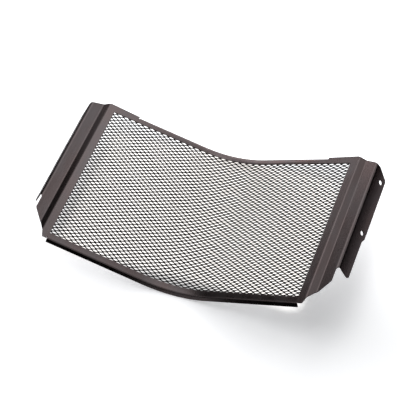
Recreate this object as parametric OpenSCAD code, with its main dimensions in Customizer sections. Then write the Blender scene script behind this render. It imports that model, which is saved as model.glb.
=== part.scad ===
// Radiator guard for a motorcycle. A window is cut in one sheet, which is bent at its middle,
// folded into a step, a band and a flange at each side, and folded back into a lip along its
// top and bottom edges. A panel of expanded metal lies on the back of the borders.
// The guard lies on its back: X runs across it, Y towards its top edge, Z out of its front.
// Heights are taken from the fold line of the bottom lip, and widths along the front face.

/* [Sheet] */
// Thickness of the frame's sheet
sheet_t = 1.5; // [1:0.1:2]
// Height of the front, between the fold lines of its two lips
sheet_h = 209; // [180:1:260]
// Radius of the front face in the middle bend
bend_r = 117; // [90:1:160]
// Turn of the middle bend on each side of the centre
bend_angle = 20; // [14:0.5:24]
// Length of each half between the middle bend and its first fold line
wing_len = 134; // [115:1:170]
// Inside radius of the folds at the sides
fold_r = 3; // [2:0.1:3.2]

/* [Window] */
// Height of the border above the window
top_border = 8; // [6.5:0.5:20]
// Height of the border below the window
bottom_border = 8; // [6.5:0.5:20]
// Width of the border beside the window, up to the first fold line
side_border = 10; // [6:0.5:20]

/* [Lips] */
// How far both lips reach behind the front face
lip_reach = 6; // [5:0.1:9]
// Inside radius of the lip folds
lip_r = 1.5; // [1:0.1:2]
// Slant of the bottom lip, away from straight back
lip_slant = 30; // [15:1:40]
// Distance from the first fold line to the end of the top lip
top_lip_inset = 42.5; // [30:0.5:60]
// Distance from the first fold line to the end of the bottom lip
bottom_lip_inset = 9.5; // [6:0.5:20]

/* [Wings] */
// Turn of the first fold, which goes back
fold_a = 37.5; // [30:0.5:42]
// Turn of the second fold, which comes forward
fold_b = 44.5; // [38:0.5:50]
// Turn of the third fold, which goes back
fold_c = 83; // [75:0.5:90]
// Width of the step, between the first and second fold lines
step_w = 9.1; // [7.5:0.1:14]
// Width of the band, between the second and third fold lines
band_w = 16.5; // [13:0.5:26]
// Width of the flange, beyond the third fold line
flange_w = 23.2; // [21:0.1:32]

/* [Corners] */
// Rise of the top edge above the lip's fold line, where the lip ends
lip_end_rise = 0.8; // [0.2:0.1:1.5]
// Rise of the top edge above the lip's fold line, at its corner
corner_rise = 2.2; // [1.5:0.1:5]
// Distance of that corner from the first fold line
corner_inset = 3; // [1:0.5:10]
// Fall of the top edge from its corner to the second fold line
step_fall = 2; // [0.5:0.1:5]
// Fall of the top edge from the second fold line to the flange
band_fall = 6; // [2:0.5:12]
// Distance from the first fold line to the cut of the bottom corner
cut_inset = 3.2; // [1:0.1:6]
// Height of that cut at the first fold line
cut_rise = 7.5; // [4:0.1:14]
// Height of the band's lower corner
band_low = 35; // [24:0.5:44]
// Width of the relief cut between the band's lower edge and the third fold line
relief_w = 2.7; // [0.8:0.1:3.5]
// Radius of the relief cut's round end
relief_r = 4.5; // [2:0.1:6]
// Rise of that end above the flange's lower edge, where the flange starts
relief_rise = 0.3; // [0.1:0.1:2]

/* [Flanges] */
// Height of the flange's lower outer corner, before its rounding
flange_low = 49.3; // [46:0.1:65]
// Slant of the flange's lower edge, which rises towards the fold
low_slant = 14; // [6:0.5:20]
// Drop of the flange's upper edge, over its slanted stretch
flange_drop = 9.9; // [6:0.1:16]
// Share of the flange's width where that edge stays shallow, next to the fold
shallow_share = 0.2; // [0.1:0.05:0.5]
// Radius of the flange's upper outer corner
upper_corner_r = 4; // [2:0.5:8]
// Radius of the flange's lower corner
lower_corner_r = 3; // [1.5:0.5:5]
// Depth of the notch in the flange's outer edge
notch_d = 2.8; // [1:0.1:5]
// Distance from the lower hole down to the notch
notch_gap = 1.5; // [1:0.5:10]
// Height over which the notch slants
notch_slant = 5.5; // [3:0.5:12]

/* [Bolt holes] */
// Diameter of the holes, for 5 mm bolts with room to adjust
hole_d = 5.8; // [5.3:0.1:6.6]
// Distance of the holes from the flange's outer edge
hole_edge = 7; // [6:0.5:10]
// Height of the lower hole
hole_low = 111.5; // [90:0.5:120]
// Distance between the two holes of one flange
hole_spacing = 74.5; // [50:0.5:80]

/* [Mesh] */
// Thickness of the expanded metal, over its strands
mesh_t = 1.5; // [1:0.1:2.5]
// Long way of the lattice, from one opening to the next
mesh_long = 47.1; // [42:0.1:70]
// Short way of the lattice, from one opening to the next
mesh_short = 27.4; // [24:0.1:40]
// Width of a strand
strand_w = 4.8; // [3:0.1:7]
// Distance that the panel keeps from the folds around it
mesh_clear = 1; // [0.5:0.1:1.5]

/* [Hidden] */
$fn = 96;
overrun = 1;
corner_steps = 6;
fold_steps = 10;

// Distance from a fold line to the start of its bend, for a turn that goes back and one that
// comes forward, where the front face is on the outside and on the inside of the bend
function setback(turn) = (fold_r + sheet_t) * tan(turn / 2);
function front_setback(turn) = fold_r * tan(turn / 2);
function lip_setback(turn) = (lip_r + sheet_t) * tan(turn / 2);
// Points along a round corner
function corner(centre, r, from, to) = [for (i = [0:corner_steps])
    let (a = from + (to - from) * i / corner_steps) centre + r * [cos(a), sin(a)]];

// Slopes of the step, band and flange, seen along the folds from the wing's own plane
step_slope = -fold_a;
band_slope = step_slope + fold_b;
flange_slope = band_slope - fold_c;
function along(slope) = [cos(slope), sin(slope)];
function front_of(slope) = [-sin(slope), cos(slope)];

// Fold lines on the front face and the flange's edge, from the end of the middle bend
first_line = [wing_len, 0];
second_line = first_line + step_w * along(step_slope);
third_line = second_line + band_w * along(band_slope);
outer_edge = third_line + flange_w * along(flange_slope);

// Centres of the folds
first_centre = first_line - [setback(fold_a), fold_r + sheet_t];
second_centre = second_line - front_setback(fold_b) * along(step_slope) + fold_r * front_of(step_slope);
third_centre = third_line - setback(fold_c) * along(band_slope)
    - (fold_r + sheet_t) * front_of(band_slope);

// Lengths and places as seen square to the front's centre
bend_len = bend_r * bend_angle * PI / 180;
wing_flat = wing_len - setback(fold_a);
flange_flat = flange_w - setback(fold_c);
first_x = bend_r * sin(bend_angle) + wing_len * cos(bend_angle);
second_x = first_x + step_w * cos(bend_angle + step_slope);
third_x = second_x + band_w * cos(bend_angle + band_slope);
flange_x = third_x + setback(fold_c) * cos(bend_angle + flange_slope);
band_edge_x = third_x - relief_w * cos(bend_angle + band_slope);

// The lips
bottom_turn = 90 - lip_slant;
top_turn = 90;
bottom_lip_len = (lip_reach - sheet_t * sin(lip_slant)) / cos(lip_slant);
bottom_lip_drop = bottom_lip_len * sin(lip_slant);
top_lip_end = wing_len - top_lip_inset;
bottom_lip_end = wing_len - bottom_lip_inset;
front_low = lip_setback(bottom_turn);
front_high = sheet_h - lip_setback(top_turn);

// The sheet's highest edge, and its edge at the second fold and where the flange starts
edge_h = sheet_h + corner_rise;
second_h = edge_h - step_fall;
flange_h = second_h - band_fall;

// Width of the flange below its notch, and height of its lower edge at a distance from the fold
notched = flange_w - notch_d;
function lower_edge_h(w) = flange_low + (notched - w) * tan(low_slant);

// The window and the panel behind it
window_half = bend_len + wing_len - side_border;
window_low = bottom_border;
window_high = sheet_h - top_border;
mesh_low = front_low + mesh_clear;
mesh_high = front_high - mesh_clear;
mesh_wing = wing_flat - mesh_clear;
strand_angle = atan2(mesh_short, mesh_long);
gap_long = mesh_long - strand_w / sin(strand_angle);
gap_short = mesh_short - strand_w / cos(strand_angle);

// Places: each module puts its children at the start of a stretch of the right half, with X
// along the sheet, Y up the sheet and Z out of its front face
module along_bend(turn) {
    translate([0, 0, bend_r]) rotate([0, -turn, 0]) translate([0, 0, -bend_r]) children();
}
module at_wing() along_bend(bend_angle) children();
module at_line(line, slope) {
    at_wing() translate([line[0], 0, line[1]]) rotate([0, -slope, 0]) children();
}
module both_sides() {
    children();
    mirror([1, 0, 0]) children();
}
// Cuts its children off at the centre and mirrors what is left
module both_halves() {
    size = bend_r + edge_h;
    both_sides() difference() {
        union() children();
        translate([-size, -size, -size]) cube([size, 2 * size, 2 * size]);
    }
}
module at_length(s) {
    if (abs(s) < bend_len) along_bend(bend_angle * s / bend_len) children();
    else mirror([s < 0 ? 1 : 0, 0, 0]) at_wing() translate([abs(s) - bend_len, 0, 0])
        mirror([s < 0 ? 1 : 0, 0, 0]) children();
}
module lying_on_back() {
    translate([0, (bottom_lip_drop - edge_h) / 2, lip_reach]) children();
}

// The sheet seen along its folds: the front face from the middle bend to the flange's edge,
// and then the back face the other way
function fold(centre, r, from, to) = [for (i = [0:fold_steps])
    centre + r * front_of(from + (to - from) * i / fold_steps)];
function sheet_line(depth) = concat(
    [[0, -depth]],
    fold(first_centre, fold_r + sheet_t - depth, 0, step_slope),
    fold(second_centre, -fold_r - depth, step_slope, band_slope),
    fold(third_centre, fold_r + sheet_t - depth, band_slope, flange_slope),
    [outer_edge - depth * front_of(flange_slope)]
);
function reversed(points) = [for (i = [len(points) - 1:-1:0]) points[i]];
module folded_sheet() {
    rotate([90, 0, 0]) translate([0, 0, -edge_h]) linear_extrude(edge_h)
        polygon(concat(sheet_line(0), reversed(sheet_line(sheet_t))));
}

// Section of a lip, with X towards the back and Y up. Its fold line is at a height on the
// front face, and side is 1 for a lip above the front and -1 for one below it
module lip_section(line, side, turn, length) {
    start = lip_setback(turn);
    function place(point) = [point[0], line + side * point[1]];
    centre = [sheet_t + lip_r, -start];
    straight = (length - start) * [sin(turn), cos(turn)];
    outside = corner(centre, lip_r + sheet_t, 180, 180 - turn);
    inside = corner(centre, lip_r, 180 - turn, 180);
    points = concat(outside, [outside[corner_steps] + straight, inside[0] + straight], inside);
    polygon([for (p = points) place(p)]);
}
module top_lip() lip_section(sheet_h, 1, top_turn, lip_reach);
module bottom_lip() lip_section(0, -1, bottom_turn, bottom_lip_len);
module along_wing(length) rotate([0, 90, 0]) linear_extrude(length) children();

// A section that goes round the middle bend
module round_middle() {
    translate([0, 0, bend_r]) rotate([-90, 0, 0]) rotate([0, 0, 90 - bend_angle])
        rotate_extrude(angle = 2 * bend_angle) translate([bend_r, 0]) children();
}
// The middle bend, with both lips going round it
module middle_bend() {
    round_middle() {
        polygon([[0, front_low], [sheet_t, front_low], [sheet_t, front_high], [0, front_high]]);
        top_lip();
        bottom_lip();
    }
}

// One half beyond the middle bend. Where the lips are, the sheet stops at their folds
module wing() {
    at_wing() {
        difference() {
            folded_sheet();
            translate([-overrun, front_low, -sheet_t - overrun]) mirror([0, 1, 0])
                cube([bottom_lip_end + overrun, edge_h, sheet_t + 2 * overrun]);
            translate([-overrun, front_high, -sheet_t - overrun])
                cube([top_lip_end + overrun, edge_h, sheet_t + 2 * overrun]);
        }
        along_wing(top_lip_end) top_lip();
        along_wing(bottom_lip_end) bottom_lip();
    }
}

// Cuts, each made square to the stretch of sheet that it goes through. One slab sets the
// window's height along all of its stretches
module window_cut() {
    depth = lip_reach + 2 * overrun;
    middle_x = bend_r * sin(bend_angle) + 2 * overrun;
    size = bend_r + wing_len;
    intersection() {
        union() {
            both_sides() at_wing() translate([-overrun, 0, -depth])
                cube([window_half - bend_len + overrun, sheet_h, 2 * depth]);
            translate([-middle_x, 0, -depth]) cube([2 * middle_x, sheet_h, 3 * depth]);
        }
        translate([-size, window_low, -size]) cube([2 * size, window_high - window_low, 2 * size]);
    }
}
module through_front() {
    depth = wing_len + band_w;
    translate([0, 0, -depth]) linear_extrude(2 * depth) children();
}
module top_cut() {
    top = edge_h + overrun;
    start_x = first_x - top_lip_inset * cos(bend_angle);
    corner_x = first_x - corner_inset * cos(bend_angle);
    through_front() polygon([
        [start_x, sheet_h + lip_end_rise], [corner_x, edge_h], [second_x, second_h],
        [flange_x, flange_h], [flange_x + flange_w, flange_h], [flange_x + flange_w, top],
        [start_x, top]
    ]);
}
module bottom_cut() {
    through_front() polygon([
        [first_x - cut_inset * cos(bend_angle), 0], [first_x, cut_rise], [band_edge_x, band_low],
        [third_x + flange_w, band_low], [third_x + flange_w, -overrun],
        [first_x - cut_inset * cos(bend_angle), -overrun]
    ]);
}
// Below the flange the sheet ends beside the third fold line, and the cut has a round end
module relief_cut() {
    depth = flange_w + band_w;
    side = -relief_w * cos(fold_c / 2);
    centre_h = lower_edge_h(setback(fold_c)) + relief_rise - relief_r;
    at_line(third_line, band_slope - fold_c / 2) translate([side, 0, -depth]) {
        translate([relief_r, centre_h]) cylinder(r = relief_r, h = 2 * depth);
        translate([0, -overrun]) cube([2 * relief_r, centre_h + overrun, 2 * depth]);
    }
}
// Everything outside the flange's outline, which starts beside its bend
module flange_cut() {
    start = setback(fold_c);
    low_start = start + overrun;
    low_centre_h = flange_low + lower_corner_r * tan((90 + low_slant) / 2);
    notch_h = hole_low - hole_d / 2 - notch_gap;
    shallow = shallow_share * flange_flat;
    slope = atan2(flange_drop, flange_flat - shallow);
    ease = shallow * tan(slope / 2) / 2;
    upper_h = flange_h - ease;
    upper_centre_h = upper_h - flange_drop - upper_corner_r * tan((90 - slope) / 2);
    far = flange_w + overrun;
    at_line(third_line, flange_slope) translate([0, 0, -sheet_t - overrun])
        linear_extrude(sheet_t + 2 * overrun) polygon(concat(
            [[low_start, lower_edge_h(low_start)]],
            corner([notched - lower_corner_r, low_centre_h], lower_corner_r, -90 - low_slant, 0),
            [[notched, notch_h - notch_slant], [flange_w, notch_h]],
            corner([flange_w - upper_corner_r, upper_centre_h], upper_corner_r, 0, 90 - slope),
            [[start + shallow, upper_h], [start, flange_h + ease], [start, edge_h + overrun],
             [far, edge_h + overrun], [far, -overrun], [low_start, -overrun]]
        ));
}
module bolt_holes() {
    for (h = [hole_low, hole_low + hole_spacing])
        at_line(third_line, flange_slope) translate([flange_w - hole_edge, h, -sheet_t - overrun])
            cylinder(d = hole_d, h = sheet_t + 2 * overrun);
}

// One folded sheet, with its lips, steps, bands and flanges
module guard_frame() {
    color([0.36, 0.32, 0.32]) lying_on_back() difference() {
        both_halves() {
            middle_bend();
            wing();
        }
        window_cut();
        both_sides() {
            top_cut();
            bottom_cut();
            relief_cut();
            flange_cut();
            bolt_holes();
        }
    }
}

// Expanded metal, bent like the frame and cut by diamond openings inside the window
module mesh_sheet() {
    height = mesh_high - mesh_low;
    both_halves() {
        round_middle() translate([sheet_t, mesh_low]) square([mesh_t, height]);
        at_wing() translate([0, mesh_low, -sheet_t - mesh_t]) cube([mesh_wing, height, mesh_t]);
    }
}
module opening(s, h) {
    if (abs(s) - gap_long / 2 < window_half)
        at_length(s) translate([0, 0, -sheet_t - mesh_t - overrun]) linear_extrude(mesh_t + 2 * overrun)
            intersection() {
                translate([0, h]) polygon([[-gap_long / 2, 0], [0, -gap_short / 2],
                                           [gap_long / 2, 0], [0, gap_short / 2]]);
                translate([-window_half - s, window_low])
                    square([2 * window_half, window_high - window_low]);
            }
}
module mesh_panel() {
    middle_h = (window_low + window_high) / 2;
    columns = ceil(window_half / mesh_long);
    rows = ceil((window_high - window_low) / mesh_short);
    color([0.16, 0.16, 0.17]) lying_on_back() difference() {
        mesh_sheet();
        for (j = [-rows:rows], i = [-columns:columns]) {
            h = middle_h + j * mesh_short / 2;
            if (h + gap_short / 2 > window_low && h - gap_short / 2 < window_high)
                opening((i + (j % 2 == 0 ? 0 : 0.5)) * mesh_long, h);
        }
    }
}

guard_frame();
mesh_panel();
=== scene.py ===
import math
from functools import lru_cache

import bpy
from mathutils import Euler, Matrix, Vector
from mathutils.geometry import delaunay_2d_cdt

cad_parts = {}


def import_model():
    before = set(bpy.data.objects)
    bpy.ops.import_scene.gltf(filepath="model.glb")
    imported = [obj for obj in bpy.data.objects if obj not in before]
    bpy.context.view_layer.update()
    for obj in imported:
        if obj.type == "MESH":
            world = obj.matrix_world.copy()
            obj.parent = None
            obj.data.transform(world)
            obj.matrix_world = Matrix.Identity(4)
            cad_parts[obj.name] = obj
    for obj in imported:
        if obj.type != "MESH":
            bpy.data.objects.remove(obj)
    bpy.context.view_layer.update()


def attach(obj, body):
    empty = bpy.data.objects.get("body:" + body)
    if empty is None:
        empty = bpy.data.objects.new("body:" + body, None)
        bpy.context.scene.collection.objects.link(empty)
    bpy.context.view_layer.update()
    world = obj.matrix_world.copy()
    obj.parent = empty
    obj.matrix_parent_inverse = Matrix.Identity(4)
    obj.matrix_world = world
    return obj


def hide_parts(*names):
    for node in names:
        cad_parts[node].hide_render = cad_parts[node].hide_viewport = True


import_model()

# All sizes below are in millimetres and degrees, and the meshes are written in metres
MM = 0.001

# The frame's sheet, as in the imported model: its thickness, height, bend at the middle, and the flat
# stretch from the bend to the first fold
SHEET_T = 1.5
SHEET_H = 209
BEND_R = 117
BEND_ANGLE = 20
WING_LEN = 134

# The borders round the window
TOP_BORDER = 8
BOTTOM_BORDER = 8
SIDE_BORDER = 10

# The lips: how far they reach back, the bottom one's slant, and how far from the first fold they end
LIP_REACH = 6
LIP_R = 1.5
LIP_SLANT = 30
TOP_LIP_INSET = 42.5
BOTTOM_LIP_INSET = 9.5

# The three folds of a side, and the step, the band and the flange between and beyond them
FOLD_R = 3
FOLD_A = 37.5
FOLD_B = 44.5
FOLD_C = 83
STEP_W = 9.1
BAND_W = 16.5
FLANGE_W = 23.2

# The top edge of a side: its rise beyond the lip and at the corner, and its falls further out
LIP_END_RISE = 0.8
CORNER_RISE = 2.2
CORNER_INSET = 3
STEP_FALL = 2
BAND_FALL = 6

# The bottom edge of a side: the slanted cut, the band's lower end, and the round relief beside it
CUT_INSET = 3.2
CUT_RISE = 7.5
BAND_LOW = 35
RELIEF_W = 2.7
RELIEF_R = 4.5
RELIEF_RISE = 0.3

# The flange: its slanted lower edge, its upper end, its round corners and its notch
FLANGE_LOW = 49.3
LOW_SLANT = 14
FLANGE_DROP = 9.9
SHALLOW_SHARE = 0.2
UPPER_CORNER_R = 4
LOWER_CORNER_R = 3
NOTCH_D = 2.8
NOTCH_GAP = 1.5
NOTCH_SLANT = 5.5

# The flange's two holes
HOLE_D = 5.8
HOLE_EDGE = 7
HOLE_LOW = 111.5
HOLE_SPACING = 74.5

# How the sheet was cut: its rounded edges, the slit at a lip's end, and its sharp corners. A corner
# that turns by SHARP_TURN or more is rounded, over at most CORNER_SHARE of the sides that meet there
EDGE_R = 0.18
SLIT_W = 0.5
SHARP_TURN = 25
CORNER_R = 0.4
CORNER_SHARE = 0.45

# Steps of the curved stretches, in degrees, and the number of steps in round corners and holes
BEND_STEP = 2
FOLD_STEP = 5
LIP_STEP = 10
CORNER_STEPS = 8
HOLE_STEPS = 40

# Lengths that differ by less than this are the same, and points whose digits agree this far are one
TINY = 1e-6
SAME_DIGITS = 5

# Expanded metal: the lattice from opening to opening, the room round its panel, a strand's width,
# thickness and tilt, and the length over which two strands are bonded
MESH_LONG = 8.93
MESH_SHORT = 5.05
MESH_CLEAR = 1
STRAND_W = 1.28
STRAND_T = 0.95
STRAND_TILT = 47
BOND_LEN = 1.3


def setback(turn):
    """Distance from a fold line to the start of a bend that goes back."""
    return (FOLD_R + SHEET_T) * math.tan(math.radians(turn) / 2)


def front_setback(turn):
    """The same for a bend that comes forward."""
    return FOLD_R * math.tan(math.radians(turn) / 2)


def lip_setback(turn):
    """The same for a lip."""
    return (LIP_R + SHEET_T) * math.tan(math.radians(turn) / 2)


def arc_len(radius, turn):
    return radius * math.radians(turn)


# The front face from the centre to the flange's edge, as the length and turn of each stretch
OUTER_R = FOLD_R + SHEET_T
STRETCHES = [
    (arc_len(BEND_R, BEND_ANGLE), BEND_ANGLE),
    (WING_LEN - setback(FOLD_A), 0),
    (arc_len(OUTER_R, FOLD_A), -FOLD_A),
    (STEP_W - setback(FOLD_A) - front_setback(FOLD_B), 0),
    (arc_len(FOLD_R, FOLD_B), FOLD_B),
    (BAND_W - front_setback(FOLD_B) - setback(FOLD_C), 0),
    (arc_len(OUTER_R, FOLD_C), -FOLD_C),
    (FLANGE_W - setback(FOLD_C), 0),
]
STARTS = [sum(length for length, turn in STRETCHES[:i]) for i in range(len(STRETCHES) + 1)]
BEND_END, FIRST_START, STEP_START, SECOND_START, BAND_START, THIRD_START, FLANGE_START, EDGE = STARTS[1:]
FIRST_MID = (FIRST_START + STEP_START) / 2
SECOND_MID = (SECOND_START + BAND_START) / 2
THIRD_MID = (THIRD_START + FLANGE_START) / 2
WING_LINE = BEND_END + WING_LEN

# The lips' bends, and heights up the flat sheet: where the bends start and where the lips end
BOTTOM_TURN = 90 - LIP_SLANT
TOP_TURN = 90
SLANT = math.radians(LIP_SLANT)
BOTTOM_LIP_LEN = (LIP_REACH - SHEET_T * math.sin(SLANT)) / math.cos(SLANT)
BOTTOM_LIP_DROP = BOTTOM_LIP_LEN * math.sin(SLANT)
FRONT_LOW = lip_setback(BOTTOM_TURN)
FRONT_HIGH = SHEET_H - lip_setback(TOP_TURN)
LIP_OUTER_R = LIP_R + SHEET_T
LIP_LOW = FRONT_LOW - arc_len(LIP_OUTER_R, BOTTOM_TURN) - (BOTTOM_LIP_LEN - lip_setback(BOTTOM_TURN))
LIP_HIGH = FRONT_HIGH + arc_len(LIP_OUTER_R, TOP_TURN) + (LIP_REACH - lip_setback(TOP_TURN))
TOP_LIP_END = WING_LINE - TOP_LIP_INSET
BOTTOM_LIP_END = WING_LINE - BOTTOM_LIP_INSET

# Heights of the top edge
EDGE_H = SHEET_H + CORNER_RISE
SECOND_H = EDGE_H - STEP_FALL
FLANGE_H = SECOND_H - BAND_FALL

# The window, and the guard's place in the frame: it lies on its back
WINDOW_HALF = WING_LINE - SIDE_BORDER
WINDOW_LOW = BOTTOM_BORDER
WINDOW_HIGH = SHEET_H - TOP_BORDER
RISE_Y = (BOTTOM_LIP_DROP - EDGE_H) / 2
RISE_Z = LIP_REACH


@lru_cache(maxsize=None)
def walk(s):
    """The front face's point (x, z) and slope in radians, at the distance s across from the centre."""
    x, z, slope = 0, 0, 0
    left = abs(s)
    for length, turn in STRETCHES:
        step = min(left, length)
        if turn:
            radius = length / math.radians(turn)
            end = slope + step / radius
            x += radius * (math.sin(end) - math.sin(slope))
            z += radius * (math.cos(slope) - math.cos(end))
            slope = end
        else:
            x += step * math.cos(slope)
            z += step * math.sin(slope)
        left -= step
        if left <= 0:
            break
    if s < 0:
        return -x, z, -slope
    return x, z, slope


def across(s):
    """Directions at s, as vectors: across the sheet, and out of its front."""
    slope = walk(s)[2]
    return Vector((math.cos(slope), 0, math.sin(slope))), Vector((-math.sin(slope), 0, math.cos(slope)))


def in_space(s, behind, height):
    """The point at s across, some way behind the front face, at a height, in millimetres."""
    x, z, _ = walk(s)
    front = across(s)[1]
    return Vector((x, height + RISE_Y, z + RISE_Z)) - behind * front


def lip_at(s, t):
    """The lip that the place (s, t) of the flat sheet belongs to, as side, fold line, turn and distance."""
    if t < FRONT_LOW and abs(s) < BOTTOM_LIP_END + SLIT_W / 2:
        return -1, 0, BOTTOM_TURN, FRONT_LOW - t
    if t > FRONT_HIGH and abs(s) < TOP_LIP_END + SLIT_W / 2:
        return 1, SHEET_H, TOP_TURN, t - FRONT_HIGH
    return None


def place(s, t, depth):
    """The point of the folded sheet that lies at (s, t) when it is flat, and at a depth in it.

    Also gives the directions there: across, up the sheet, and out of its front."""
    over, front = across(s)
    up = Vector((0, 1, 0))
    lip = lip_at(s, t)
    if lip is None:
        return in_space(s, depth, t), over, up, front
    side, line, turn, distance = lip
    bend = math.radians(turn)
    angle = min(distance / LIP_OUTER_R, bend)
    straight = max(distance - LIP_OUTER_R * bend, 0)
    radius = LIP_OUTER_R - depth
    behind = LIP_OUTER_R - radius * math.cos(angle) + straight * math.sin(bend)
    rise = radius * math.sin(angle) - lip_setback(turn) + straight * math.cos(bend)
    outward = math.cos(angle) * front + side * math.sin(angle) * up
    along = side * (side * math.cos(angle) * up - math.sin(angle) * front)
    return in_space(s, behind, line + side * rise), over, along, outward


def steps(start, end, turn, step):
    """Places along a curved stretch, one every few degrees."""
    count = math.ceil(turn / step)
    return [start + (end - start) * i / count for i in range(count + 1)]


def mirrored(values):
    return sorted(set(values) | {-v for v in values})


def between(points, x):
    """Height at x of an edge that is straight from one point to the next."""
    for (x0, y0), (x1, y1) in zip(points, points[1:]):
        if x <= x1:
            return y0 + (y1 - y0) * (x - x0) / (x1 - x0)
    return points[-1][1]


def corner(centre, radius, start, end):
    """Points along a round corner."""
    angles = [math.radians(start + (end - start) * i / CORNER_STEPS) for i in range(CORNER_STEPS + 1)]
    return [(centre[0] + radius * math.cos(a), centre[1] + radius * math.sin(a)) for a in angles]


STATIONS = mirrored(
    steps(0, BEND_END, BEND_ANGLE, BEND_STEP)
    + steps(FIRST_START, STEP_START, FOLD_A, FOLD_STEP)
    + steps(SECOND_START, BAND_START, FOLD_B, FOLD_STEP)
    + steps(THIRD_START, FLANGE_START, FOLD_C, FOLD_STEP)
)
BOTTOM_LINES = steps(FRONT_LOW, FRONT_LOW - arc_len(LIP_OUTER_R, BOTTOM_TURN), BOTTOM_TURN, LIP_STEP)
TOP_LINES = steps(FRONT_HIGH, FRONT_HIGH + arc_len(LIP_OUTER_R, TOP_TURN), TOP_TURN, LIP_STEP)


def slanted(ends, start, end):
    """An edge that is straight as seen from the front, from the place start across to the place end."""
    inside = [s for s in STATIONS if min(start, end) + TINY < s < max(start, end) - TINY]
    if end < start:
        inside.reverse()
    return [(s, between(ends, walk(s)[0])) for s in [start] + inside + [end]]


# The flange below its notch, and the third fold as seen squarely to its middle
NOTCHED = FLANGE_W - NOTCH_D
HALF_FOLD_C = math.radians(FOLD_C / 2)
FOLD_REACH = OUTER_R * math.sin(HALF_FOLD_C)


def lower_edge_h(w):
    """Height of the flange's lower edge at a distance from the fold line."""
    return FLANGE_LOW + (NOTCHED - w) * math.tan(math.radians(LOW_SLANT))


def relief_place(x):
    """Distance across of a point beside the third fold's middle, x away from it as seen squarely."""
    if x < FOLD_REACH:
        return THIRD_MID + OUTER_R * math.asin(x / OUTER_R)
    return FLANGE_START + (x - FOLD_REACH) / math.cos(HALF_FOLD_C)


def round_relief():
    """The relief cut's round end, up to where the flange's lower edge crosses it."""
    centre_x = RELIEF_R - RELIEF_W * math.cos(HALF_FOLD_C)
    edge_h = lower_edge_h(setback(FOLD_C))
    centre_h = edge_h + RELIEF_RISE - RELIEF_R
    fall = math.atan(math.tan(math.radians(LOW_SLANT)) / math.cos(HALF_FOLD_C))
    distance = (edge_h + (FOLD_REACH - centre_x) * math.tan(fall) - centre_h) * math.cos(fall)
    end = 90 - math.degrees(fall + math.acos(distance / RELIEF_R))
    return [(relief_place(x), t) for x, t in corner((centre_x, centre_h), RELIEF_R, 180, end)]


def bottom_edge():
    """The right half's lower edge, from the centre to the flange."""
    cut = WING_LINE - CUT_INSET
    relief = relief_place(-RELIEF_W * math.cos(HALF_FOLD_C))
    ends = [(walk(cut)[0], 0), (walk(FIRST_MID)[0], CUT_RISE), (walk(relief)[0], BAND_LOW)]
    return (
        [(0, LIP_LOW), (BOTTOM_LIP_END, LIP_LOW)]
        + [(BOTTOM_LIP_END, t) for t in reversed(BOTTOM_LINES)]
        + [(BOTTOM_LIP_END + SLIT_W, FRONT_LOW), (BOTTOM_LIP_END + SLIT_W, 0)]
        + slanted(ends, cut, FIRST_MID)
        + slanted(ends, FIRST_MID, relief)[1:]
        + round_relief()
    )


def flange_edge():
    """The flange's edge, from below to above, in places of the flat sheet."""
    start = setback(FOLD_C)
    flat = FLANGE_W - start
    low_h = FLANGE_LOW + LOWER_CORNER_R * math.tan(math.radians(90 + LOW_SLANT) / 2)
    notch_h = HOLE_LOW - HOLE_D / 2 - NOTCH_GAP
    shallow = SHALLOW_SHARE * flat
    slope = math.atan2(FLANGE_DROP, flat - shallow)
    upper_h = FLANGE_H - shallow * math.tan(slope / 2) / 2
    turn = 90 - math.degrees(slope)
    high_h = upper_h - FLANGE_DROP - UPPER_CORNER_R * math.tan(math.radians(turn) / 2)
    points = (
        corner((NOTCHED - LOWER_CORNER_R, low_h), LOWER_CORNER_R, -90 - LOW_SLANT, 0)
        + [(NOTCHED, notch_h - NOTCH_SLANT), (FLANGE_W, notch_h)]
        + corner((FLANGE_W - UPPER_CORNER_R, high_h), UPPER_CORNER_R, 0, turn)
        + [(start + shallow, upper_h), (start + shallow / 2, FLANGE_H)]
    )
    return [(FLANGE_START + w - start, t) for w, t in points]


def top_edge():
    """The right half's upper edge, from the flange to the centre."""
    lip_end = TOP_LIP_END + SLIT_W
    corner_s = WING_LINE - CORNER_INSET
    ends = [
        (walk(lip_end)[0], SHEET_H + LIP_END_RISE),
        (walk(corner_s)[0], EDGE_H),
        (walk(SECOND_MID)[0], SECOND_H),
        (walk(FLANGE_START)[0], FLANGE_H),
    ]
    return (
        slanted(ends, FLANGE_START, SECOND_MID)
        + slanted(ends, SECOND_MID, corner_s)[1:]
        + [(lip_end, SHEET_H + LIP_END_RISE), (lip_end, FRONT_HIGH)]
        + [(TOP_LIP_END, t) for t in TOP_LINES]
        + [(TOP_LIP_END, LIP_HIGH), (0, LIP_HIGH)]
    )


def turn_at(before, point, after):
    """How far an outline turns at a point, in degrees, and left is positive."""
    a = Vector(point) - Vector(before)
    b = Vector(after) - Vector(point)
    return math.degrees(math.atan2(a.x * b.y - a.y * b.x, a.dot(b)))


def neighbours(points):
    return zip(points[-1:] + points[:-1], points, points[1:] + points[:1])


def eased(points):
    """The outline with its sharp corners rounded."""
    result = []
    for before, point, after in neighbours(points):
        turn = turn_at(before, point, after)
        if abs(turn) < SHARP_TURN:
            result.append(point)
            continue
        here, back, on = Vector(point), Vector(before) - Vector(point), Vector(after) - Vector(point)
        limit = CORNER_SHARE * min(back.length, on.length)
        reach = min(CORNER_R * math.tan(math.radians(abs(turn)) / 2), limit)
        start = here + back.normalized() * reach
        end = here + on.normalized() * reach
        count = CORNER_STEPS // 2
        for i in range(count + 1):
            share = i / count
            first = start.lerp(here, share)
            second = here.lerp(end, share)
            result.append(tuple(first.lerp(second, share)))
    return result


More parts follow.
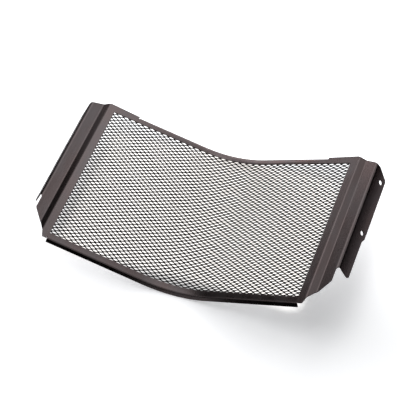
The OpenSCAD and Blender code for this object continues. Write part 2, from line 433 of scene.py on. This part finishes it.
def crossed(points):
    """The outline with a point wherever it crosses a station."""
    result = []
    for a, b in zip(points, points[1:] + points[:1]):
        result.append(a)
        inside = [s for s in STATIONS if min(a[0], b[0]) + TINY < s < max(a[0], b[0]) - TINY]
        if b[0] < a[0]:
            inside.reverse()
        for s in inside:
            result.append((s, a[1] + (b[1] - a[1]) * (s - a[0]) / (b[0] - a[0])))
    return result


def outlines():
    """The flat sheet's outer edge, counterclockwise, and its window and holes, clockwise."""
    half = bottom_edge() + flange_edge() + top_edge()
    other = [(-s, t) for s, t in reversed(half[1:-1])]
    window = [
        (-WINDOW_HALF, WINDOW_LOW), (-WINDOW_HALF, WINDOW_HIGH),
        (WINDOW_HALF, WINDOW_HIGH), (WINDOW_HALF, WINDOW_LOW),
    ]
    holes = []
    for side in (-1, 1):
        for height in (HOLE_LOW, HOLE_LOW + HOLE_SPACING):
            angles = [-2 * math.pi * i / HOLE_STEPS for i in range(HOLE_STEPS)]
            across_s = side * (EDGE - HOLE_EDGE)
            holes.append([
                (across_s + HOLE_D / 2 * math.cos(a), height + HOLE_D / 2 * math.sin(a)) for a in angles
            ])
    return [crossed(eased(half + other)), crossed(eased(window))] + holes


def mitres(points):
    """Direction out of the sheet at each point of an outline, as long as a unit inset needs."""
    result = []
    for before, point, after in neighbours(points):
        a = (Vector(point) - Vector(before)).normalized()
        b = (Vector(after) - Vector(point)).normalized()
        first, second = Vector((a.y, -a.x)), Vector((b.y, -b.x))
        result.append((first + second) / (1 + first.dot(second)))
    return result


def inset(points, directions, distance):
    return [(p[0] - d.x * distance, p[1] - d.y * distance) for p, d in zip(points, directions)]


def is_inside(point, loops):
    """True if a flat place lies on the sheet: within its edge and in none of its cuts."""
    s, t = point
    odd = False
    for loop in loops:
        for (s0, t0), (s1, t1) in zip(loop, loop[1:] + loop[:1]):
            if (t0 > t) != (t1 > t) and s < s0 + (s1 - s0) * (t - t0) / (t1 - t0):
                odd = not odd
    return odd


def station_lines(loops):
    """Pairs of points, one above the other, that a station joins on the sheet."""
    lines = []
    for station in STATIONS:
        hits = []
        index = 0
        for loop in loops:
            for i, (s, t) in enumerate(loop):
                if abs(s - station) < TINY:
                    hits.append((t, index + i))
            index += len(loop)
        hits.sort()
        for (t0, a), (t1, b) in zip(hits, hits[1:]):
            if is_inside((station, (t0 + t1) / 2), loops):
                lines.append((a, b))
    return lines


def lip_lines(outer):
    """Pairs of points of the outer edge that a line along a lip's bend joins."""
    lines = []
    for end, heights in ((BOTTOM_LIP_END, BOTTOM_LINES), (TOP_LIP_END, TOP_LINES)):
        for height in heights[1:]:
            pair = [
                i for i, (s, t) in enumerate(outer)
                if abs(abs(s) - end) < TINY and abs(t - height) < TINY
            ]
            if len(pair) == 2:
                lines.append(tuple(pair))
    return lines


def flat_sheet():
    """The flat sheet, inside its rounded edges, as points and triangles.

    Gives its outlines, their directions out of the sheet, each inset outline as the numbers of its
    points, the points and the triangles."""
    loops = outlines()
    directions = [mitres(loop) for loop in loops]
    inner = [inset(loop, dirs, EDGE_R) for loop, dirs in zip(loops, directions)]
    points, edges = [], []
    for loop in inner:
        start = len(points)
        points += loop
        edges += [(start + i, start + (i + 1) % len(loop)) for i in range(len(loop))]
    edges += station_lines(loops) + lip_lines(loops[0])
    flat = [Vector(p) for p in points]
    found, _, faces, sources, _, _ = delaunay_2d_cdt(flat, edges, [], 1, TINY)
    places = {}
    for i, source in enumerate(sources):
        for original in source:
            places[original] = i
    triangles = []
    for face in faces:
        centre = sum((found[i] for i in face), Vector((0, 0))) / len(face)
        if is_inside(centre, inner):
            triangles.append(tuple(face))
    border = []
    start = 0
    for loop in inner:
        border.append([places[start + i] for i in range(len(loop))])
        start += len(loop)
    return loops, directions, border, [tuple(p) for p in found], triangles


def counterclockwise(points, face):
    """True if a flat face's points go round to the left."""
    (x0, y0), (x1, y1), (x2, y2) = [points[i] for i in face[:3]]
    return (x1 - x0) * (y2 - y0) > (x2 - x0) * (y1 - y0)


def put_in_scene(obj):
    bpy.context.scene.collection.objects.link(obj)


def make_object(name, verts, faces, normals=None):
    """An object in metres from points in millimetres. It is smooth where it is given normals."""
    mesh = bpy.data.meshes.new(name)
    mesh.from_pydata([v * MM for v in verts], [], faces)
    mesh.validate()
    if normals:
        mesh.shade_smooth()
        mesh.normals_split_custom_set_from_vertices(normals)
    obj = bpy.data.objects.new(name, mesh)
    put_in_scene(obj)
    return obj


def folded_frame():
    """The guard's folded sheet: both faces, and round edges between them."""
    loops, directions, border, flat, triangles = flat_sheet()
    used = sorted({i for face in triangles for i in face})
    order = {old: new for new, old in enumerate(used)}
    verts, normals, faces = [], [], []
    for depth, sign in ((0, 1), (SHEET_T, -1)):
        for i in used:
            point, _, _, front = place(*flat[i], depth)
            verts.append(point)
            normals.append(sign * front)
    back = len(used)
    for face in triangles:
        if not counterclockwise(flat, face):
            face = face[::-1]
        faces.append([order[i] for i in face])
        faces.append([back + order[i] for i in face[::-1]])
    # Round the edge, from the front to the back: inset, depth, and how far the direction has turned
    halfway = EDGE_R * (1 - math.sqrt(0.5))
    rings = [
        (halfway, halfway, 45),
        (0, EDGE_R, 90),
        (0, SHEET_T - EDGE_R, 90),
        (halfway, SHEET_T - halfway, 135),
    ]
    for loop, dirs, rim in zip(loops, directions, border):
        rows = [[order[i] for i in rim]]
        for distance, depth, angle in rings:
            rows.append(list(range(len(verts), len(verts) + len(loop))))
            for (s, t), direction in zip(inset(loop, dirs, distance), dirs):
                point, over, up, front = place(s, t, depth)
                outward = (direction.x * over + direction.y * up).normalized()
                turned = math.radians(angle)
                verts.append(point)
                normals.append(math.cos(turned) * front + math.sin(turned) * outward)
        rows.append([back + order[i] for i in rim])
        for upper, lower in zip(rows, rows[1:]):
            for i in range(len(loop)):
                j = (i + 1) % len(loop)
                faces.append([upper[i], lower[i], lower[j], upper[j]])
    return make_object("folded_frame", verts, faces, normals)


def strand_stations(half):
    """Places across at which every strand has a section, with the share of its zigzag there.

    The share is 1 where a strand that starts upward is bonded above, and -1 where it is bonded below."""
    result = []
    count = math.ceil(half / (MESH_LONG / 2)) + 1
    flat = BOND_LEN / 2
    middle = MESH_LONG / 4
    for i in range(-count, count + 1):
        peak = 1 if i % 2 == 0 else -1
        centre = i * MESH_LONG / 2
        for offset, share in ((-flat, peak), (flat, peak), (middle, 0)):
            result.append((centre + offset, share))
    kept = [(s, share) for s, share in result if abs(s) < half - TINY]
    for end in (-half, half):
        for (s0, share0), (s1, share1) in zip(result, result[1:]):
            if s0 <= end <= s1:
                kept.append((end, share0 + (share1 - share0) * (end - s0) / (s1 - s0)))
                break
    return sorted(set(kept))


def expanded_metal():
    """The panel of expanded metal: zigzag strands, tilted, and joined where they meet."""
    tilt = math.radians(STRAND_TILT)
    behind = SHEET_T + STRAND_W * math.sin(tilt) + STRAND_T / 2 * math.cos(tilt)
    low, high = FRONT_LOW + MESH_CLEAR, FRONT_HIGH - MESH_CLEAR
    half = FIRST_START - MESH_CLEAR
    sections = strand_stations(half)
    rise = MESH_SHORT / 2
    middle = (low + high) / 2
    reach = (high - low) / 2 - STRAND_W - STRAND_T / 2
    count = math.floor(reach / rise)
    verts, faces, known = [], [], {}

    def vertex(s, height, forward):
        key = tuple(round(value, SAME_DIGITS) for value in (s, height, forward))
        if key not in known:
            known[key] = len(verts)
            verts.append(in_space(s, behind - forward, height))
        return known[key]

    def corners(row, s, share):
        """The four corners of a strand's section."""
        side = share if row % 2 == 0 else -share
        bond = middle + row * rise + side * rise / 2
        centre_up = bond - side * STRAND_W / 2 * math.cos(tilt)
        centre_out = -side * STRAND_W / 2 * math.sin(tilt)
        result = []
        for wide, thick in ((-1, -1), (-1, 1), (1, 1), (1, -1)):
            up = wide * STRAND_W / 2 * math.cos(tilt) - thick * STRAND_T / 2 * math.sin(tilt)
            out = wide * STRAND_W / 2 * math.sin(tilt) + thick * STRAND_T / 2 * math.cos(tilt)
            result.append(vertex(s, centre_up + up, centre_out + out))
        return result

    for row in range(-count, count + 1):
        rings = [corners(row, s, share) for s, share in sections]
        faces.append(rings[0][::-1])
        faces.append(rings[-1])
        for (start, end), (ring0, ring1) in zip(zip(sections, sections[1:]), zip(rings, rings[1:])):
            bonded = start[1] if start[1] == end[1] else 0
            if row % 2:
                bonded = -bonded
            for i in range(4):
                j = (i + 1) % 4
                if (i == 2 and bonded == 1 and row < count) or (i == 0 and bonded == -1 and row > -count):
                    continue
                faces.append([ring0[i], ring0[j], ring1[j], ring1[i]])
    return make_object("expanded_metal", verts, faces)


# Noises of the coatings: scale, detail and stretch along the object's axes
STREAKS = (900, 4, (1, 0.05, 1))
CLOUDS = (45, 3, (1, 0.4, 1))
GRAIN = (2500, 2, (1, 1, 1))
SPOTS = (350, 2, (1, 1, 1))

# The sheet's coating: its tint at grazing angles, its shades over the clouds, what the streaks
# multiply them by, its roughness over the clouds, and its grain's strength and height in metres
SHEET_EDGE_TINT = (0.15, 0.14, 0.14)
SHEET_SHADES = [(0.3, (0.056, 0.0445, 0.044)), (0.7, (0.057, 0.051, 0.052))]
SHEET_STREAKS = [(0.3, (0.94, 0.93, 0.93)), (0.7, (1.05, 1.05, 1.06))]
SHEET_ROUGHNESS = [(0.3, 0.24), (0.7, 0.31)]
GRAIN_STRENGTH = 0.08
GRAIN_HEIGHT = 0.0002

# The expanded metal's coating: its shades and its roughness over the spots
MESH_SHADES = [(0.35, (0.012, 0.012, 0.013)), (0.65, (0.022, 0.021, 0.022))]
MESH_ROUGHNESS = [(0.3, 0.38), (0.7, 0.52)]


def new_material(name, metallic, roughness):
    """A material with its nodes, links and main shader."""
    material = bpy.data.materials.new(name)
    material.use_nodes = True
    nodes = material.node_tree.nodes
    shader = nodes["Principled BSDF"]
    shader.inputs["Metallic"].default_value = metallic
    shader.inputs["Roughness"].default_value = roughness
    return material, nodes, material.node_tree.links, shader


def noise(nodes, links, scale, detail, stretch):
    """A noise in the object's own space, stretched along its axes. Gives its output socket."""
    coordinates = nodes.new("ShaderNodeTexCoord")
    mapping = nodes.new("ShaderNodeMapping")
    mapping.inputs["Scale"].default_value = stretch
    texture = nodes.new("ShaderNodeTexNoise")
    texture.inputs["Scale"].default_value = scale
    texture.inputs["Detail"].default_value = detail
    links.new(coordinates.outputs["Object"], mapping.inputs["Vector"])
    links.new(mapping.outputs["Vector"], texture.inputs["Vector"])
    return texture.outputs["Fac"]


def ramp(nodes, links, source, stops):
    """Colours between two stops, each a position and a colour, that follow a value."""
    node = nodes.new("ShaderNodeValToRGB")
    for element, (position, colour) in zip(node.color_ramp.elements, stops):
        element.position = position
        element.color = (*colour, 1)
    links.new(source, node.inputs["Fac"])
    return node.outputs["Color"]


def greys(stops):
    return [(position, (value, value, value)) for position, value in stops]


def coated_sheet():
    """Satin bronze-grey coating, faintly mottled and brushed along the folds."""
    material, nodes, links, shader = new_material("coated_sheet", 1, 0.3)
    shader.inputs["Specular Tint"].default_value = (*SHEET_EDGE_TINT, 1)
    streaks = noise(nodes, links, *STREAKS)
    clouds = noise(nodes, links, *CLOUDS)
    mix = nodes.new("ShaderNodeMix")
    mix.data_type = "RGBA"
    mix.blend_type = "MULTIPLY"
    mix.inputs["Factor"].default_value = 1
    links.new(ramp(nodes, links, clouds, SHEET_SHADES), mix.inputs["A"])
    links.new(ramp(nodes, links, streaks, SHEET_STREAKS), mix.inputs["B"])
    links.new(mix.outputs["Result"], shader.inputs["Base Color"])
    links.new(ramp(nodes, links, clouds, greys(SHEET_ROUGHNESS)), shader.inputs["Roughness"])
    bump = nodes.new("ShaderNodeBump")
    bump.inputs["Strength"].default_value = GRAIN_STRENGTH
    bump.inputs["Distance"].default_value = GRAIN_HEIGHT
    links.new(noise(nodes, links, *GRAIN), bump.inputs["Height"])
    links.new(bump.outputs["Normal"], shader.inputs["Normal"])
    return material


def black_metal():
    """Satin black coating of the expanded metal, with small spots of a different sheen."""
    material, nodes, links, shader = new_material("expanded_mesh", 0.6, 0.45)
    spots = noise(nodes, links, *SPOTS)
    links.new(ramp(nodes, links, spots, MESH_SHADES), shader.inputs["Base Color"])
    links.new(ramp(nodes, links, spots, greys(MESH_ROUGHNESS)), shader.inputs["Roughness"])
    return material


# The floor in metres, and its glow, which paints a shadow round the guard's real shadow and a pool of light
# below the window: how strong the glow is in the middle of the painted shadow and in the painted light, its
# colours, and where the two places are and how far they reach
FLOOR_SIZE = 12
FLOOR_COLOUR = (0.86, 0.87, 0.88)
FLOOR_ROUGHNESS = 0.9
# Painted shadow and painted light: the glow in the shadow's middle and below the window, and their colours
PAINTED_SHADOW_GLOW = 0.2
PAINTED_WINDOW_LIGHT_GLOW = 1.25
GLOW_AND_PAINTED_SHADOW_COLOUR = (0.98, 0.98, 1)
PAINTED_WINDOW_LIGHT_COLOUR = (1, 0.955, 0.91)
SHADOW_MIDDLE = (0.165, -0.09, 0)
SHADOW_STRETCH = (2.5, 1, 1)
SHADOW_REACH = 0.25
WINDOW_LIGHT = (-0.015, 0.012, 0)
WINDOW_LIGHT_REACH = {"X": (0.15, 0.175), "Y": (0.088, 0.108)}

# The world's light on the guard
WORLD_LEVEL = 0.3

# Lamps: name, middle in metres, where it faces, width and height, and its radiance
LAMPS = [
    ("overhead_lamp", (0, 0.95, 1.1), (0, 0, -1), (1.8, 1.1), 0.68),
    ("near_lamp", (-0.3, 0, 1.1), (0, 0, -1), (1.2, 0.6), 1.5),
    ("key_lamp", (-0.1, 0.75, 1.08), (0, 0, -1), (0.5, 0.6), 2.3),
    ("strip_lamp", (0.95, 0.8, 1.08), (0, 0, -1), (0.2, 0.8), 2.5),
    ("back_lamp", (-0.6, 1.4, 0.5), (0, -1, 0), (1.8, 1), 5.2),
]

# Black cards, which only reflections see: name, middle in metres, where it faces, width and height
CARDS = [
    ("left_card", (-1.4, -0.05, 0.5), (1, 0, 0), (1.7, 1)),
    ("upper_left_card", (-1.2, 0.3, 1.1), (0, 0, -1), (0.6, 1.2)),
    ("right_card", (1.4, 0.85, 0.5), (-1, 0, 0), (1.1, 1)),
    ("upper_right_card", (1.2, 0.9, 1.1), (0, 0, -1), (0.6, 1.2)),
    ("back_card", (1.2, 1.4, 0.5), (0, -1, 0), (0.6, 1)),
    ("near_card", (0.26, 0.04, 0.082), (-1, 0, 0), (0.32, 0.08)),
    ("front_card", (-0.1, -0.7, 0.15), (0, 1, 0), (1.2, 0.3)),
    ("lying_card", (-0.1, -0.43, 0.002), (0, 0, 1), (1.2, 0.54)),
]


def combined(nodes, links, operation, first, second):
    """The result of a calculation with two values."""
    node = nodes.new("ShaderNodeMath")
    node.operation = operation
    links.new(first, node.inputs[0])
    links.new(second, node.inputs[1])
    return node.outputs["Value"]


def seen_rays(nodes, links):
    """1 for the rays that show a background: the camera's, reflections and those through clear things."""
    path = nodes.new("ShaderNodeLightPath")
    result = path.outputs["Is Camera Ray"]
    for name in ("Is Glossy Ray", "Is Transmission Ray"):
        result = combined(nodes, links, "MAXIMUM", result, path.outputs[name])
    return result


def value_range(nodes, links, source, start, end, low, high):
    """A value that goes evenly from low to high while the source goes from start to end."""
    node = nodes.new("ShaderNodeMapRange")
    for name, value in (("From Min", start), ("From Max", end), ("To Min", low), ("To Max", high)):
        node.inputs[name].default_value = value
    links.new(source, node.inputs["Value"])
    return node.outputs["Result"]


def seen_from(nodes, links, middle, scale, operation):
    """A place on the floor as seen from a middle and divided by a scale.

    Gives the node of the vector operation that ends it."""
    coordinates = nodes.new("ShaderNodeTexCoord")
    mapping = nodes.new("ShaderNodeMapping")
    mapping.vector_type = "TEXTURE"
    mapping.inputs["Location"].default_value = middle
    mapping.inputs["Scale"].default_value = scale
    result = nodes.new("ShaderNodeVectorMath")
    result.operation = operation
    links.new(coordinates.outputs["Object"], mapping.inputs["Vector"])
    links.new(mapping.outputs["Vector"], result.inputs[0])
    return result


def floor_glow_painted_light_and_shade(nodes, links):
    """The floor's glow, with painted shade and painted light: white far from the guard's shadow, a painted
    shadow that darkens it round the shadow's middle, and a painted pool of light below the window, where
    light would come through the expanded metal.

    Gives its strength and its colour."""
    distance = seen_from(nodes, links, SHADOW_MIDDLE, SHADOW_STRETCH, "LENGTH").outputs["Value"]
    # Painted shadow: the glow is weakest at the shadow's middle and grows to full white over SHADOW_REACH
    painted_shadow_pool = value_range(nodes, links, distance, 0, SHADOW_REACH, PAINTED_SHADOW_GLOW, 1)
    offset = seen_from(nodes, links, WINDOW_LIGHT, (1, 1, 1), "ABSOLUTE")
    parts = nodes.new("ShaderNodeSeparateXYZ")
    links.new(offset.outputs["Vector"], parts.inputs["Vector"])
    within = [
        value_range(nodes, links, parts.outputs[axis], inner, outer, 1, 0)
        for axis, (inner, outer) in WINDOW_LIGHT_REACH.items()
    ]
    painted_light_mask = combined(nodes, links, "MULTIPLY", *within)
    # Painted light: a pool of glow below the window, standing in for light that comes through the expanded
    # metal
    painted_window_light = value_range(nodes, links, painted_light_mask, 0, 1, 0, PAINTED_WINDOW_LIGHT_GLOW)
    strength = combined(nodes, links, "MAXIMUM", painted_shadow_pool, painted_window_light)
    return strength, ramp(nodes, links, painted_light_mask, [(0, GLOW_AND_PAINTED_SHADOW_COLOUR), (1, PAINTED_WINDOW_LIGHT_COLOUR)])


def rectangle(name, width, height, material):
    """A flat object that faces up, with its middle at its origin."""
    mesh = bpy.data.meshes.new(name)
    x, y = width / 2, height / 2
    mesh.from_pydata([(-x, -y, 0), (x, -y, 0), (x, y, 0), (-x, y, 0)], [], [(0, 1, 2, 3)])
    mesh.materials.append(material)
    return bpy.data.objects.new(name, mesh)


def floor():
    """White floor that keeps the guard's real shadow, which its glow deepens with a painted shadow, and
    with a painted pool of light below the window.
    """
    material, nodes, links, shader = new_material("white_floor", 0, FLOOR_ROUGHNESS)
    shader.inputs["Base Color"].default_value = (*FLOOR_COLOUR, 1)
    shader.inputs["Specular IOR Level"].default_value = 0
    glow = nodes.new("ShaderNodeEmission")
    strength, colour = floor_glow_painted_light_and_shade(nodes, links)
    links.new(strength, glow.inputs["Strength"])
    links.new(colour, glow.inputs["Color"])
    dark = nodes.new("ShaderNodeEmission")
    dark.inputs["Strength"].default_value = 0
    pick = nodes.new("ShaderNodeMixShader")
    both = nodes.new("ShaderNodeAddShader")
    links.new(seen_rays(nodes, links), pick.inputs["Fac"])
    links.new(dark.outputs["Emission"], pick.inputs[1])
    links.new(glow.outputs["Emission"], pick.inputs[2])
    links.new(shader.outputs["BSDF"], both.inputs[0])
    links.new(pick.outputs["Shader"], both.inputs[1])
    links.new(both.outputs["Shader"], nodes["Material Output"].inputs["Surface"])
    obj = rectangle("floor", FLOOR_SIZE, FLOOR_SIZE, material)
    put_in_scene(obj)


def aim(obj, location, facing):
    """Puts an object in the scene, at a place, turned so that its -Z side faces a direction."""
    obj.location = location
    obj.rotation_euler = Vector(facing).to_track_quat("-Z", "Y").to_euler()
    put_in_scene(obj)


def lamps():
    for name, location, facing, (width, height), radiance in LAMPS:
        light = bpy.data.lights.new(name, "AREA")
        light.shape = "RECTANGLE"
        light.size, light.size_y = width, height
        light.energy = math.pi * width * height * radiance
        aim(bpy.data.objects.new(name, light), location, facing)


def cards():
    """Black cards that keep light off some of the coating's reflections."""
    material, _, _, shader = new_material("black_card", 0, 1)
    shader.inputs["Base Color"].default_value = (0, 0, 0, 1)
    shader.inputs["Specular IOR Level"].default_value = 0
    for name, location, facing, (width, height) in CARDS:
        obj = rectangle(name, width, height, material)
        aim(obj, location, facing)
        obj.visible_camera = False
        obj.visible_diffuse = False
        obj.visible_shadow = False


def world():
    """White to the camera and to reflections, and an even light on the guard."""
    made = bpy.data.worlds.new("studio")
    made.use_nodes = True
    nodes, links = made.node_tree.nodes, made.node_tree.links
    plain = nodes["Background"]
    plain.inputs["Color"].default_value = (1, 1, 1, 1)
    plain.inputs["Strength"].default_value = WORLD_LEVEL
    white = nodes.new("ShaderNodeBackground")
    white.inputs["Color"].default_value = (1, 1, 1, 1)
    white.inputs["Strength"].default_value = 1
    pick = nodes.new("ShaderNodeMixShader")
    links.new(seen_rays(nodes, links), pick.inputs["Fac"])
    links.new(plain.outputs["Background"], pick.inputs[1])
    links.new(white.outputs["Background"], pick.inputs[2])
    links.new(pick.outputs["Shader"], nodes["World Output"].inputs["Surface"])
    bpy.context.scene.world = made


# The photograph's view: the camera's turn round the guard, its elevation and its roll in degrees,
# what it looks at and how far off in metres, and its lens and sensor in millimetres
VIEW_AZIMUTH = 32.742
VIEW_ELEVATION = 53.162
VIEW_ROLL = -13.95
VIEW_TARGET = Vector((-0.00904, 0.01343, 0.03))
VIEW_DISTANCE = 1.44244
VIEW_LENS = 106.565
VIEW_SENSOR = 36


def camera():
    data = bpy.data.cameras.new("camera")
    data.lens = VIEW_LENS
    data.sensor_width = VIEW_SENSOR
    obj = bpy.data.objects.new("camera", data)
    turn = Euler((math.radians(90 - VIEW_ELEVATION), 0, math.radians(VIEW_AZIMUTH))).to_matrix()
    roll = Euler((0, 0, math.radians(VIEW_ROLL))).to_matrix()
    back = turn @ Vector((0, 0, 1))
    obj.location = VIEW_TARGET + VIEW_DISTANCE * back
    obj.rotation_euler = (turn @ roll).to_euler()
    put_in_scene(obj)
    bpy.context.scene.camera = obj


def dress(obj, node, material):
    """Gives a piece its material, and has it stand for a node of the part."""
    obj.data.materials.append(material)
    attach(obj, "root")
    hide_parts(node)


bpy.context.scene.view_settings.view_transform = "Standard"
camera()
world()
lamps()
cards()
floor()
dress(folded_frame(), "guard_frame", coated_sheet())
dress(expanded_metal(), "mesh_panel", black_metal())
